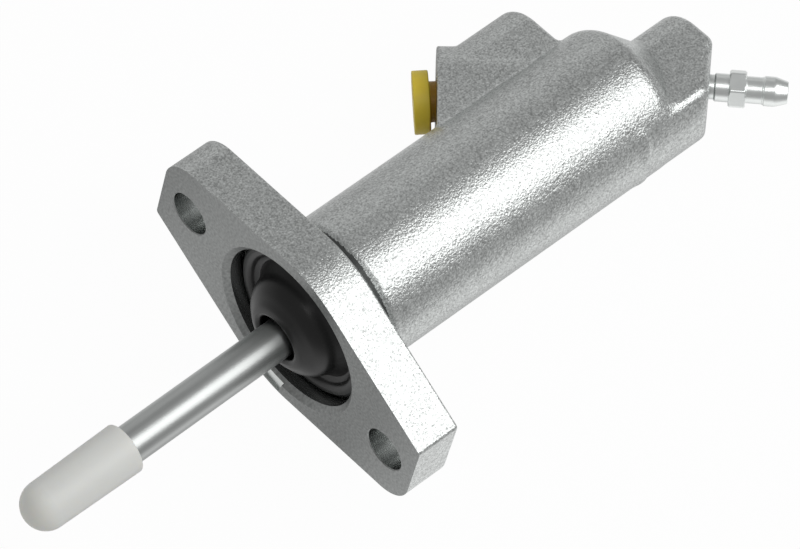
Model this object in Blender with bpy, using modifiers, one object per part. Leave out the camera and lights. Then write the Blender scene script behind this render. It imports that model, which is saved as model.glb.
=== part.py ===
"""Clutch slave cylinder: an aluminium casting with an oval two-bolt flange, a piston with its cup seal and
return spring, a push rod with a nylon tip, a rubber boot, a bleed screw and a plug in the fluid port.

Units are metres. The origin is the bore's axis in the flange's machined front face. +X runs out of the mouth
along the push rod, +Y runs towards the bolt hole on the bleed screw's side, and +Z is up.
"""

import math

import bmesh
import bpy
from mathutils import Matrix, Quaternion, Vector

# Clearances between pieces
FIT_GAP = 0.0003
ROUND_STEPS = 60
SMALL_STEPS = 32

# Flange
BOLT_SPACING = 0.0600
BOLT_HOLE_RADIUS = 0.0047
FLANGE_THICKNESS = 0.0101
WAIST_RADIUS = 0.0220
EAR_REACH = 0.0068
EAR_HALF_WIDTH = 0.0111
EAR_CROWN = 0.0016
EAR_CROWN_SHIFT = 0.0030
EAR_CORNER_RADIUS = 0.0022
CAST_EDGE_RADIUS = 0.0006

# Barrel, with the machined neck behind the flange and the cone that closes the rear end
BARREL_RADIUS = 0.01605
NECK_RADIUS = 0.0146
NECK_END = 0.0122
NECK_SLOPE_LENGTH = 0.0025
SHOULDER_START = 0.0886
SHOULDER_ROUND = 0.0052
SHOULDER_SLOPE = math.radians(45)

# Bore and boot recess, the bore ending a wall's thickness short of the barrel's shoulder
BORE_RADIUS = 0.0111
BORE_END_WALL = 0.0046
BORE_DEPTH = SHOULDER_START - BORE_END_WALL
BORE_FLOOR_SLOPE = math.radians(30)
PILOT_RADIUS = 0.0025
RECESS_RADIUS = 0.0178
RECESS_DEPTH = 0.0065
RECESS_CHAMFER = 0.0012
MOUTH_CHAMFER = 0.0007

# The port and the bleed screw lie in one plane through the bore's axis, rolled about it from the flange
BOSS_ROLL = math.radians(18)

# Fluid port
PORT_TILT = math.radians(42)
PORT_SETBACK = 0.0021
PORT_CROSSING = SHOULDER_START - PORT_SETBACK
PORT_REACH = 0.0352
PORT_BOSS_RADIUS = 0.0104
PORT_SPOT_RISE = 0.0003
PORT_RIB_HEIGHT = 0.0287
PORT_RIB_HALF_WIDTH = 0.0101
PORT_RIB_SETBACK = 0.0048
PORT_RIB_END = SHOULDER_START - PORT_RIB_SETBACK
PORT_RIB_ROUND = 0.0085
PORT_FOOT_FILLET = 0.0014
PORT_FOOT_STEPS = 5
PORT_RIB_ROOT_SHARE = 0.6
PORT_END_ROUND = 0.0022
PORT_THREAD_RADIUS = 0.0045
PORT_THREAD_DEPTH = 0.0090
PORT_DRILL_RADIUS = 0.0016

# Bleed boss
BLEED_TILT = math.radians(47)
BLEED_OFFSET = 0.0064
BLEED_CROSSING = SHOULDER_START + BLEED_OFFSET
BLEED_REACH = 0.0128
BLEED_BOSS_RADIUS = 0.0081
BLEED_BOSS_LENGTH = 0.0203
BLEED_BOSS_END = SHOULDER_START + BLEED_BOSS_LENGTH
BLEED_EDGE_ROUND = 0.0026
BLEED_CORNER_RADIUS = 0.0020
BLEED_CREST_DROP = 0.0002
BLEED_CREST_SHARE = 0.5
BLEED_INNER_ROUND_SHARE = 0.999
BLEED_HOLE_DEPTH = 0.0070
BLEED_DRILL_RADIUS = 0.0011
PILOT_OVERRUN = 0.0025
PILOT_DEPTH = BLEED_CROSSING + PILOT_OVERRUN

# Bleed screw
SCREW_THREAD_RADIUS = 0.0030
SCREW_RELIEF_RADIUS = 0.0025
SCREW_RELIEF_LENGTH = 0.0013
SCREW_COLLAR_RADIUS = 0.00285
SCREW_COLLAR_LENGTH = 0.0029
SCREW_HEX_WIDTH = 0.0070
SCREW_HEX_LENGTH = 0.0034
SCREW_HEX_TURN = math.radians(54)
SCREW_NECK_RADIUS = 0.0027
SCREW_NECK_LENGTH = 0.0032
SCREW_BARB_RADIUS = 0.0030
SCREW_BARB_LENGTH = 0.0052
SCREW_BARB_STRAIGHT_SHARE = 0.45
SCREW_TIP_RADIUS = 0.0022
SCREW_BORE_RADIUS = 0.0010
SCREW_CROSS_RADIUS = 0.0006

# Port plug
PLUG_HEAD_RADIUS = 0.0064
PLUG_HEAD_LENGTH = 0.0033
PLUG_STEM_RADIUS = 0.0041
PLUG_STEM_SHOWN = 0.0011
PLUG_STEM_DEPTH = 0.0070
PLUG_WALL = 0.0011

# Snap ring
RING_THICKNESS = 0.0010
RING_PLACE = 0.0092
RING_BITE = 0.0010
RING_WIDTH = 0.0019
RING_OPENING = math.radians(50)
RING_LUG_RADIUS = 0.0019
RING_LUG_HOLE = 0.0008
RING_ARC_STEPS = 56

# Piston and its rings
PISTON_LENGTH = 0.0240
SOCKET_MOUTH_RADIUS = 0.0070
SOCKET_DEPTH = 0.0120
SOCKET_LIP_SPREAD = 1.05
SOCKET_LIP_HEIGHT = 0.75
GUIDE_PLACE = 0.0045
GUIDE_WIDTH = 0.0030
GUIDE_THICKNESS = 0.0014
CUP_BASE = 0.0020
CUP_LENGTH = 0.0062
CUP_LIP = 0.0019
SPREADER_DISC = 0.0022
SPREADER_PEG_RADIUS = 0.0042
SPREADER_PEG_LENGTH = 0.0036

# Return spring
SPRING_WIRE_RADIUS = 0.0007
SPRING_TURNS = 8
SPRING_POINTS_A_TURN = 16

# Push rod and its tip, which sag a little in the boot's opening
ROD_SAG = math.radians(1.05)
ROD_SAG_ROLL = math.radians(-70)
ROD_RADIUS = 0.0040
ROD_END = 0.0608
ROD_CHAMFER = 0.0006
TIP_MOUTH = 0.0408
TIP_MOUTH_RADIUS = 0.00535
TIP_NOSE_RADIUS = 0.0050
TIP_END = 0.0655

# Dust boot
BOOT_BEAD = 0.0028
BOOT_WALL = 0.0012
BOOT_VALLEY_RADIUS = 0.0134
BOOT_DOME_RADIUS = 0.0098
BOOT_DOME_FRONT = 0.0018
BOOT_NECK_FRONT = 0.0046
BOOT_NECK_WALL = 0.0008
BOOT_OPENING_RADIUS = 0.0051
BOOT_STEPS = 40
BOOT_BEAD_BITE = 0.7
BOOT_VALLEY_SWELL = 1.2
BOOT_DOME_BULGE = 0.7
BOOT_DOME_DROP = 1.4

# Directions of the port and of the bleed screw, and their machined faces
AXIS = Vector((1, 0, 0))
PORT_SIDE = Vector((0, -math.cos(BOSS_ROLL), -math.sin(BOSS_ROLL)))
PORT_DIRECTION = AXIS * math.cos(PORT_TILT) + PORT_SIDE * math.sin(PORT_TILT)
PORT_FACE = AXIS * -PORT_CROSSING + PORT_DIRECTION * PORT_REACH
BLEED_SIDE = -PORT_SIDE
BLEED_DIRECTION = AXIS * -math.cos(BLEED_TILT) + BLEED_SIDE * math.sin(BLEED_TILT)
BLEED_FACE = AXIS * -BLEED_CROSSING + BLEED_DIRECTION * BLEED_REACH
ROD_SIDE = Vector((0, math.cos(ROD_SAG_ROLL), math.sin(ROD_SAG_ROLL)))
ROD_DIRECTION = AXIS * math.cos(ROD_SAG) + ROD_SIDE * math.sin(ROD_SAG)

# Places that follow from the sizes above
RING_REAR = RING_PLACE + RING_THICKNESS
PISTON_FRONT = RING_REAR + FIT_GAP
PISTON_RADIUS = BORE_RADIUS - FIT_GAP
BALL_CENTRE = Vector((-PISTON_FRONT - SOCKET_DEPTH, 0, 0))
PISTON_REAR = PISTON_FRONT + PISTON_LENGTH
CUP_FRONT = PISTON_REAR + FIT_GAP
SPREADER_FRONT = CUP_FRONT + CUP_BASE + FIT_GAP
SPREADER_REAR = SPREADER_FRONT + SPREADER_DISC
SPRING_FRONT = SPREADER_REAR + FIT_GAP + SPRING_WIRE_RADIUS
SPRING_REAR = BORE_DEPTH - FIT_GAP - SPRING_WIRE_RADIUS


def clear_scene():
    for obj in list(bpy.data.objects):
        bpy.data.objects.remove(obj, do_unlink=True)


def collection(name):
    made = bpy.data.collections.new(name)
    bpy.context.scene.collection.children.link(made)
    return made


def material(name, colour, roughness, metallic):
    made = bpy.data.materials.new(name)
    made.use_nodes = True
    shader = made.node_tree.nodes["Principled BSDF"]
    shader.inputs["Base Color"].default_value = (*colour, 1)
    shader.inputs["Roughness"].default_value = roughness
    shader.inputs["Metallic"].default_value = metallic
    return made


def rounded(corners, arc_step=math.radians(15)):
    """Points of a path through (x, y, radius) corners, each turned into a tangent arc of its radius."""
    points = []
    for index, (x, y, radius) in enumerate(corners):
        here = Vector((x, y))
        if not radius:
            points.append((x, y))
            continue
        before = (Vector(corners[index - 1][:2]) - here).normalized()
        after = (Vector(corners[(index + 1) % len(corners)][:2]) - here).normalized()
        half_angle = before.angle(after) / 2
        centre = here + (before + after).normalized() * radius / math.sin(half_angle)
        start = here + before * radius / math.tan(half_angle) - centre
        turn = start.angle_signed(here + after * radius / math.tan(half_angle) - centre)
        count = max(2, round(abs(turn) / arc_step))
        for step in range(count + 1):
            offset = Matrix.Rotation(-turn * step / count, 2) @ start
            points.append(tuple(centre + offset))
    return points


def place(obj, origin, direction):
    """Stands the object's own +Z along the direction, with its own origin at the given point."""
    obj.location = origin
    obj.rotation_mode = "QUATERNION"
    obj.rotation_quaternion = Vector((0, 0, 1)).rotation_difference(direction)
    return obj


def turned(name, profile, origin, direction, steps=ROUND_STEPS):
    """A turned piece: (radius, height) points from the top down the outer side, swept round its axis."""
    closed = profile[0][0] > 0
    mesh = bpy.data.meshes.new(name)
    edges = [(i, i + 1) for i in range(len(profile) - 1)]
    if closed:
        edges.append((len(profile) - 1, 0))
    mesh.from_pydata([(radius, 0, height) for radius, height in profile], edges, [])
    obj = bpy.data.objects.new(name, mesh)
    screw = obj.modifiers.new("Turn", "SCREW")
    screw.steps = steps
    screw.render_steps = steps
    screw.use_merge_vertices = True
    screw.merge_threshold = 0.00001
    screw.use_smooth_shade = True
    return place(obj, origin, direction)


def prism(name, outline, bottom, top, end_round=0.0):
    """A flat outline raised from bottom to top along +Z, with the rim of its bottom face rounded."""
    shape = bmesh.new()
    corners = [shape.verts.new((x, y, top)) for x, y in outline]
    face = shape.faces.new(corners)
    if face.normal.z < 0:
        face.normal_flip()
    raised = bmesh.ops.extrude_face_region(shape, geom=[face])["geom"]
    moved = [item for item in raised if isinstance(item, bmesh.types.BMVert)]
    bmesh.ops.translate(shape, verts=moved, vec=(0, 0, bottom - top))
    bmesh.ops.recalc_face_normals(shape, faces=shape.faces)
    if end_round:
        rim = [edge for edge in shape.edges if all(abs(v.co.z - bottom) < 1e-7 for v in edge.verts)]
        bmesh.ops.bevel(shape, geom=rim, offset=end_round, segments=4, affect="EDGES", profile=0.5)
    mesh = bpy.data.meshes.new(name)
    shape.to_mesh(mesh)
    shape.free()
    return bpy.data.objects.new(name, mesh)


def trim(obj, point, normal):
    """Cuts the object's mesh off flat at a plane and closes it, as a spot face does."""
    shape = bmesh.new()
    shape.from_mesh(obj.data)
    into = obj.matrix_basis.inverted()
    bmesh.ops.bisect_plane(
        shape,
        geom=shape.verts[:] + shape.edges[:] + shape.faces[:],
        plane_co=into @ point,
        plane_no=into.to_3x3() @ normal,
        clear_outer=True,
    )
    rim = [edge for edge in shape.edges if edge.is_boundary]
    bmesh.ops.contextual_create(shape, geom=rim)
    bmesh.ops.recalc_face_normals(shape, faces=shape.faces)
    shape.to_mesh(obj.data)
    shape.free()


def combine(obj, other, operation):
    """Adds an EXACT Boolean to the object and hides the other shape among the helpers."""
    boolean = obj.modifiers.new(other.name, "BOOLEAN")
    boolean.operation = operation
    boolean.object = other
    boolean.solver = "EXACT"
    other.hide_render = True
    other.display_type = "WIRE"
    helpers.objects.link(other)


def finish(obj, made_of, crease=math.radians(30)):
    """Puts a finished piece in the part's collection with its material and smooth shading."""
    obj.data.materials.append(made_of)
    obj.data.shade_smooth()
    obj.data.set_sharp_from_angle(angle=crease)
    parts.objects.link(obj)


def along_bore(name, profile, steps=ROUND_STEPS):
    """A turned piece on the bore's axis, its heights measured along +X from the flange's front face."""
    return turned(name, profile, Vector((0, 0, 0)), AXIS, steps)


def boss_frame(side):
    """Matrix of a prism that runs along the bore: its own +X points to the boss's side, its +Z along +X."""
    across = AXIS.cross(side)
    return Matrix((side, across, AXIS)).transposed().to_4x4()


def flange_outline():
    """Outline of the flange in Y and Z: a round waist with straight flanks to ears whose ends are crowned,
    lower on the right ear and by as much higher on the left one."""
    ear = BOLT_SPACING / 2 + EAR_REACH
    flank = math.atan2(EAR_HALF_WIDTH, ear) + math.acos(WAIST_RADIUS / math.hypot(ear, EAR_HALF_WIDTH))
    apex = WAIST_RADIUS / math.sin(flank)
    crown_radius = EAR_HALF_WIDTH * 2
    right = [
        (ear, EAR_HALF_WIDTH, EAR_CORNER_RADIUS),
        (ear + EAR_CROWN, -EAR_CROWN_SHIFT, crown_radius),
        (ear, -EAR_HALF_WIDTH, EAR_CORNER_RADIUS),
    ]
    left = [(-y, -z, radius) for y, z, radius in right]
    corners = [(0, apex, WAIST_RADIUS), *right, (0, -apex, WAIST_RADIUS), *left]
    return rounded(corners, math.radians(8))


def flange():
    """The cast flange: machined flat in front, with a soft cast edge round its back."""
    made = prism("flange_blank", flange_outline(), -FLANGE_THICKNESS, 0, CAST_EDGE_RADIUS)
    made.matrix_basis = Matrix(((0, 0, 1), (1, 0, 0), (0, 1, 0))).to_4x4()
    return made


def barrel():
    """The turned form of the barrel, from inside the flange to the cone under the bleed boss."""
    cone_length = (BARREL_RADIUS - BLEED_BOSS_RADIUS / 2) / math.tan(SHOULDER_SLOPE)
    profile = rounded(
        [
            (0, -FLANGE_THICKNESS / 2, 0),
            (NECK_RADIUS, -FLANGE_THICKNESS / 2, 0),
            (NECK_RADIUS, -NECK_END, 0),
            (BARREL_RADIUS, -NECK_END - NECK_SLOPE_LENGTH, CAST_EDGE_RADIUS),
            (BARREL_RADIUS, -SHOULDER_START, SHOULDER_ROUND),
            (BLEED_BOSS_RADIUS / 2, -SHOULDER_START - cone_length, 0),
            (0, -SHOULDER_START - cone_length, 0),
        ]
    )
    return along_bore("barrel_blank", profile)


def port_rib():
    """The rib that carries the port: a U section along the bore with fillets into the barrel."""
    half = PORT_RIB_HALF_WIDTH
    surface = BARREL_RADIUS - FIT_GAP
    foot_out = half + PORT_FOOT_FILLET
    foot_up = math.sqrt((surface + PORT_FOOT_FILLET) ** 2 - foot_out**2)
    start = math.atan2(-foot_up, -foot_out)
    fillet = [
        (
            foot_up + PORT_FOOT_FILLET * math.sin(angle),
            foot_out + PORT_FOOT_FILLET * math.cos(angle),
        )
        for angle in (
            start + (-math.pi - start) * step / PORT_FOOT_STEPS for step in range(PORT_FOOT_STEPS + 1)
        )
    ]
    root = (surface * PORT_RIB_ROOT_SHARE, fillet[0][1])
    crest = rounded(
        [
            (foot_up, half, 0),
            (PORT_RIB_HEIGHT, half, PORT_RIB_ROUND),
            (PORT_RIB_HEIGHT, -half, PORT_RIB_ROUND),
            (foot_up, -half, 0),
        ]
    )
    mirrored = [(x, -y) for x, y in reversed(fillet)]
    outline = [root, *fillet[:-1], *crest, *mirrored[1:], (root[0], -root[1])]
    front = PORT_FACE.x + PORT_BOSS_RADIUS
    made = prism("port_rib", outline, -PORT_RIB_END, front, PORT_END_ROUND)
    made.matrix_basis = boss_frame(PORT_SIDE)
    trim(made, PORT_FACE - PORT_DIRECTION * PORT_SPOT_RISE, PORT_DIRECTION)
    return made


def port_boss():
    """The round boss of the port, from inside the barrel to its spot face."""
    inner = -PORT_REACH + BARREL_RADIUS / 2
    profile = [(0, 0), (PORT_BOSS_RADIUS, 0), (PORT_BOSS_RADIUS, inner), (0, inner)]
    return turned("port_boss", profile, PORT_FACE, PORT_DIRECTION)


def bleed_boss():
    """The rear boss: a round back on the port's side and a full shoulder on the bleed screw's side."""
    half = BLEED_BOSS_RADIUS
    crest = BARREL_RADIUS - BLEED_CREST_DROP
    angle = math.asin(half / crest) * BLEED_CREST_SHARE
    corner = crest / math.cos(angle) - half * math.tan(angle)
    outline = rounded(
        [
            (corner, half, BLEED_CORNER_RADIUS),
            (crest / math.cos(angle), 0, crest),
            (corner, -half, BLEED_CORNER_RADIUS),
            (-half, -half, half * BLEED_INNER_ROUND_SHARE),
            (-half, half, half * BLEED_INNER_ROUND_SHARE),
        ]
    )
    start = -SHOULDER_START + SHOULDER_ROUND
    made = prism("bleed_boss", outline, -BLEED_BOSS_END, start, BLEED_EDGE_ROUND)
    made.matrix_basis = boss_frame(BLEED_SIDE)
    trim(made, BLEED_FACE, BLEED_DIRECTION)
    return made


def bore_cutter():
    """All that is turned into the housing from its mouth: chamfer, recess, bore, ring groove and pilot."""
    groove = BORE_RADIUS + RING_BITE + FIT_GAP
    floor = (BORE_RADIUS - PILOT_RADIUS) * math.tan(BORE_FLOOR_SLOPE)
    beyond = RECESS_CHAMFER
    profile = [
        (0, beyond),
        (RECESS_RADIUS + RECESS_CHAMFER + beyond, beyond),
        (RECESS_RADIUS, -RECESS_CHAMFER),
        (RECESS_RADIUS, -RECESS_DEPTH),
        (BORE_RADIUS + MOUTH_CHAMFER, -RECESS_DEPTH),
        (BORE_RADIUS, -RECESS_DEPTH - MOUTH_CHAMFER),
        (BORE_RADIUS, -RING_PLACE + FIT_GAP),
        (groove, -RING_PLACE + FIT_GAP),
        (groove, -RING_REAR - FIT_GAP),
        (BORE_RADIUS, -RING_REAR - FIT_GAP),
        (BORE_RADIUS, -BORE_DEPTH),
        (PILOT_RADIUS, -BORE_DEPTH - floor),
        (PILOT_RADIUS, -PILOT_DEPTH),
        (0, -PILOT_DEPTH - PILOT_RADIUS * math.tan(BORE_FLOOR_SLOPE)),
    ]
    return along_bore("bore_cutter", profile)


def bolt_hole_cutter(side):
    """One of the two bolt holes, drilled through the flange."""
    beyond = RECESS_CHAMFER
    ends = (beyond, -FLANGE_THICKNESS - beyond)
    profile = [(0, ends[0]), (BOLT_HOLE_RADIUS, ends[0]), (BOLT_HOLE_RADIUS, ends[1]), (0, ends[1])]
    name = "bolt_hole_right" if side > 0 else "bolt_hole_left"
    return turned(name, profile, Vector((0, side * BOLT_SPACING / 2, 0)), AXIS, SMALL_STEPS)


def port_cutter():
    """The port's thread hole and the drilling from its seat into the bore."""
    taper = PORT_THREAD_RADIUS - PORT_DRILL_RADIUS
    into_bore = PORT_REACH - (BORE_RADIUS - 2 * PORT_DRILL_RADIUS) / math.sin(PORT_TILT)
    profile = [
        (0, RECESS_CHAMFER),
        (PORT_THREAD_RADIUS, RECESS_CHAMFER),
        (PORT_THREAD_RADIUS, -PORT_THREAD_DEPTH),
        (PORT_DRILL_RADIUS, -PORT_THREAD_DEPTH - taper / 2),
        (PORT_DRILL_RADIUS, -into_bore),
        (0, -into_bore),
    ]
    return turned("port_cutter", profile, PORT_FACE, PORT_DIRECTION, SMALL_STEPS)


def bleed_cutter():
    """The bleed screw's hole with its cone seat, and the drilling to the pilot hole."""
    hole = SCREW_THREAD_RADIUS + FIT_GAP
    seat = hole - BLEED_DRILL_RADIUS
    profile = [
        (0, RECESS_CHAMFER),
        (hole, RECESS_CHAMFER),
        (hole, -BLEED_HOLE_DEPTH + seat),
        (BLEED_DRILL_RADIUS, -BLEED_HOLE_DEPTH),
        (BLEED_DRILL_RADIUS, -BLEED_REACH),
        (0, -BLEED_REACH),
    ]
    return turned("bleed_cutter", profile, BLEED_FACE, BLEED_DIRECTION, SMALL_STEPS)


def housing():
    """The casting: flange, barrel and bosses joined, then bored and drilled."""
    body = barrel()
    body.name = "housing"
    for blank in (flange(), port_rib(), port_boss(), bleed_boss()):
        combine(body, blank, "UNION")
    cutters = (bore_cutter(), bolt_hole_cutter(-1), bolt_hole_cutter(1), port_cutter(), bleed_cutter())
    for cutter in cutters:
        combine(body, cutter, "DIFFERENCE")
    finish(body, material("cast_aluminium", (0.55, 0.56, 0.56), 0.42, 0.9))


def snap_ring():
    """A flat internal retaining ring, open at the bottom, with an eye for the pliers at each end."""
    outer = BORE_RADIUS + RING_BITE
    inner = outer - RING_WIDTH
    lug = outer - RING_LUG_RADIUS - RING_BITE - FIT_GAP
    first = -math.pi / 2 + RING_OPENING / 2
    sweep = 2 * math.pi - RING_OPENING
    angles = [first + sweep * step / RING_ARC_STEPS for step in range(RING_ARC_STEPS + 1)]
    arc = [(outer * math.cos(angle), outer * math.sin(angle)) for angle in angles]
    back = [(inner * math.cos(angle), inner * math.sin(angle)) for angle in reversed(angles)]
    ring = prism("snap_ring", arc + back, -RING_REAR, -RING_PLACE)
    ring.matrix_basis = Matrix(((0, 0, 1), (1, 0, 0), (0, 1, 0))).to_4x4()
    for word, angle in (("left", angles[-1]), ("right", angles[0])):
        centre = Vector((0, lug * math.cos(angle), lug * math.sin(angle)))
        eye = [
            (0, -RING_PLACE),
            (RING_LUG_RADIUS, -RING_PLACE),
            (RING_LUG_RADIUS, -RING_REAR),
            (0, -RING_REAR),
        ]
        hole = [
            (0, 0),
            (RING_LUG_HOLE, 0),
            (RING_LUG_HOLE, -RING_REAR - RING_THICKNESS),
            (0, -RING_REAR - RING_THICKNESS),
        ]
        combine(ring, turned(f"ring_eye_{word}", eye, centre, AXIS, 20), "UNION")
        combine(ring, turned(f"ring_hole_{word}", hole, centre, AXIS, 12), "DIFFERENCE")
    finish(ring, material("spring_steel", (0.16, 0.15, 0.14), 0.4, 1.0))


def piston():
    """The turned piston: a ball socket in front, a guide ring groove round it and a flat rear face."""
    front = -PISTON_FRONT
    rear = -PISTON_REAR
    groove = PISTON_RADIUS - GUIDE_THICKNESS - FIT_GAP
    groove_front = front - GUIDE_PLACE + FIT_GAP
    groove_rear = front - GUIDE_PLACE - GUIDE_WIDTH - FIT_GAP
    cup = ROD_RADIUS + FIT_GAP
    socket = [
        (cup * math.cos(angle), BALL_CENTRE.x - cup * math.sin(angle))
        for angle in (math.pi / 2 * (1 - step / 6) for step in range(7))
    ]
    profile = [
        *socket,
        (cup * SOCKET_LIP_SPREAD, BALL_CENTRE.x + cup * SOCKET_LIP_HEIGHT),
        (SOCKET_MOUTH_RADIUS, front),
        (PISTON_RADIUS - MOUTH_CHAMFER, front),
        (PISTON_RADIUS, front - MOUTH_CHAMFER),
        (PISTON_RADIUS, groove_front),
        (groove, groove_front),
        (groove, groove_rear),
        (PISTON_RADIUS, groove_rear),
        (PISTON_RADIUS, rear + MOUTH_CHAMFER),
        (PISTON_RADIUS - MOUTH_CHAMFER, rear),
        (0, rear),
    ]
    profile[0] = (0, profile[0][1])
    turned_piston = along_bore("piston", profile, SMALL_STEPS)
    finish(turned_piston, material("anodised_aluminium", (0.62, 0.62, 0.6), 0.3, 1.0))


def guide_ring():
    """The plain guide ring in the piston's groove."""
    front = -PISTON_FRONT - GUIDE_PLACE
    rear = front - GUIDE_WIDTH
    outer = PISTON_RADIUS
    inner = outer - GUIDE_THICKNESS
    profile = [(outer, front), (outer, rear), (inner, rear), (inner, front)]
    band = along_bore("guide_ring", profile, SMALL_STEPS)
    finish(band, material("guide_nylon", (0.78, 0.74, 0.62), 0.5, 0.0))


def cup_seal():
    """The rubber cup behind the piston, its lip opening towards the fluid."""
    base = PISTON_RADIUS - MOUTH_CHAMFER / 2
    inner = PISTON_RADIUS - CUP_LIP
    profile = [
        (0, -CUP_FRONT),
        (base, -CUP_FRONT),
        (base, -CUP_FRONT - CUP_BASE),
        (PISTON_RADIUS, -CUP_FRONT - CUP_LENGTH),
        (inner + CUP_LIP / 2, -CUP_FRONT - CUP_LENGTH),
        (inner, -CUP_FRONT - CUP_BASE),
        (0, -CUP_FRONT - CUP_BASE),
    ]
    cup = along_bore("cup_seal", profile, SMALL_STEPS)
    finish(cup, material("seal_rubber", (0.02, 0.02, 0.02), 0.6, 0.0))


def seal_spreader():
    """The moulded disc that keeps the cup's lip open, with the peg that centres the spring."""
    disc = PISTON_RADIUS - CUP_LIP - FIT_GAP
    end = SPREADER_REAR + SPREADER_PEG_LENGTH
    profile = [
        (0, -SPREADER_FRONT),
        (disc, -SPREADER_FRONT),
        (disc, -SPREADER_REAR),
        (SPREADER_PEG_RADIUS, -SPREADER_REAR),
        (SPREADER_PEG_RADIUS, -end + FIT_GAP),
        (SPREADER_PEG_RADIUS - FIT_GAP, -end),
        (0, -end),
    ]
    disc_and_peg = along_bore("seal_spreader", profile, SMALL_STEPS)
    finish(disc_and_peg, material("spreader_nylon", (0.1, 0.1, 0.11), 0.5, 0.0))


def return_spring():
    """The conical spring: its ground first and last turns lie flat, and the ones between climb evenly."""
    small = SPREADER_PEG_RADIUS + FIT_GAP + SPRING_WIRE_RADIUS
    large = BORE_RADIUS - 2 * FIT_GAP - SPRING_WIRE_RADIUS
    pitch_turns = SPRING_TURNS - 2
    flat_rise = 2 * SPRING_WIRE_RADIUS + FIT_GAP
    climb = SPRING_REAR - SPRING_FRONT - 2 * flat_rise
    wire = bpy.data.curves.new("return_spring", "CURVE")
    wire.dimensions = "3D"
    wire.bevel_depth = SPRING_WIRE_RADIUS
    wire.bevel_resolution = 2
    wire.use_fill_caps = True
    count = SPRING_TURNS * SPRING_POINTS_A_TURN
    spline = wire.splines.new("POLY")
    spline.points.add(count)
    for index, point in enumerate(spline.points):
        turn = index / SPRING_POINTS_A_TURN
        middle = min(max(turn - 1, 0), pitch_turns)
        depth = SPRING_FRONT + climb * middle / pitch_turns
        depth += flat_rise * (min(turn, 1) + max(turn - SPRING_TURNS + 1, 0))
        radius = small + (large - small) * turn / SPRING_TURNS
        angle = 2 * math.pi * turn
        point.co = (-depth, radius * math.cos(angle), radius * math.sin(angle), 1)
    obj = bpy.data.objects.new("return_spring", wire)
    wire.materials.append(material("spring_wire", (0.35, 0.35, 0.36), 0.3, 1.0))
    parts.objects.link(obj)


def push_rod():
    """The bright steel rod: a ball end in the piston's socket and a chamfered end inside the tip."""
    ball = [
        (ROD_RADIUS * math.cos(angle), -ROD_RADIUS * math.sin(angle))
        for angle in (math.pi / 2 * step / 8 for step in range(9))
    ]
    ball[-1] = (0, -ROD_RADIUS)
    top = ROD_END - BALL_CENTRE.x
    profile = [(0, top), (ROD_RADIUS - ROD_CHAMFER, top), (ROD_RADIUS, top - ROD_CHAMFER), *ball]
    rod = turned("push_rod", profile, BALL_CENTRE, ROD_DIRECTION, SMALL_STEPS)
    finish(rod, material("zinc_steel", (0.62, 0.63, 0.64), 0.22, 1.0))


def rod_tip():
    """The nylon cap pushed over the rod's end: a slight taper with a domed nose and a blind bore."""
    bore = ROD_RADIUS + FIT_GAP
    nose = TIP_END - TIP_NOSE_RADIUS
    dome = [
        (TIP_NOSE_RADIUS * math.sin(angle), nose + TIP_NOSE_RADIUS * math.cos(angle))
        for angle in (math.pi / 2 * step / 10 for step in range(11))
    ]
    edge = (TIP_MOUTH_RADIUS - bore) / 4
    profile = [
        *dome,
        (TIP_MOUTH_RADIUS, TIP_MOUTH + edge),
        (TIP_MOUTH_RADIUS - edge, TIP_MOUTH),
        (bore + edge, TIP_MOUTH),
        (bore, TIP_MOUTH + edge),
        (bore, ROD_END + FIT_GAP),
        (0, ROD_END + FIT_GAP),
    ]
    profile = [(radius, height - BALL_CENTRE.x) for radius, height in profile]
    cap = turned("rod_tip", profile, BALL_CENTRE, ROD_DIRECTION, SMALL_STEPS)
    finish(cap, material("milky_nylon", (0.8, 0.8, 0.76), 0.4, 0.0))


def smooth_line(points, steps):
    """Points of a Catmull-Rom curve through rows of numbers, with each end row repeated."""
    rows = [points[0], *points, points[-1]]
    line = []
    for a, b, c, d in zip(rows, rows[1:], rows[2:], rows[3:]):
        for step in range(steps):
            t = step / steps
            before = (2 - t) * t * t - t
            here = (3 * t - 5) * t * t + 2
            after = (4 - 3 * t) * t * t + t
            beyond = (t - 1) * t * t
            line.append(
                tuple(
                    (before * p + here * q + after * r + beyond * s) / 2
                    for p, q, r, s in zip(a, b, c, d)
                )
            )
    return [*line, points[-1]]


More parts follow.
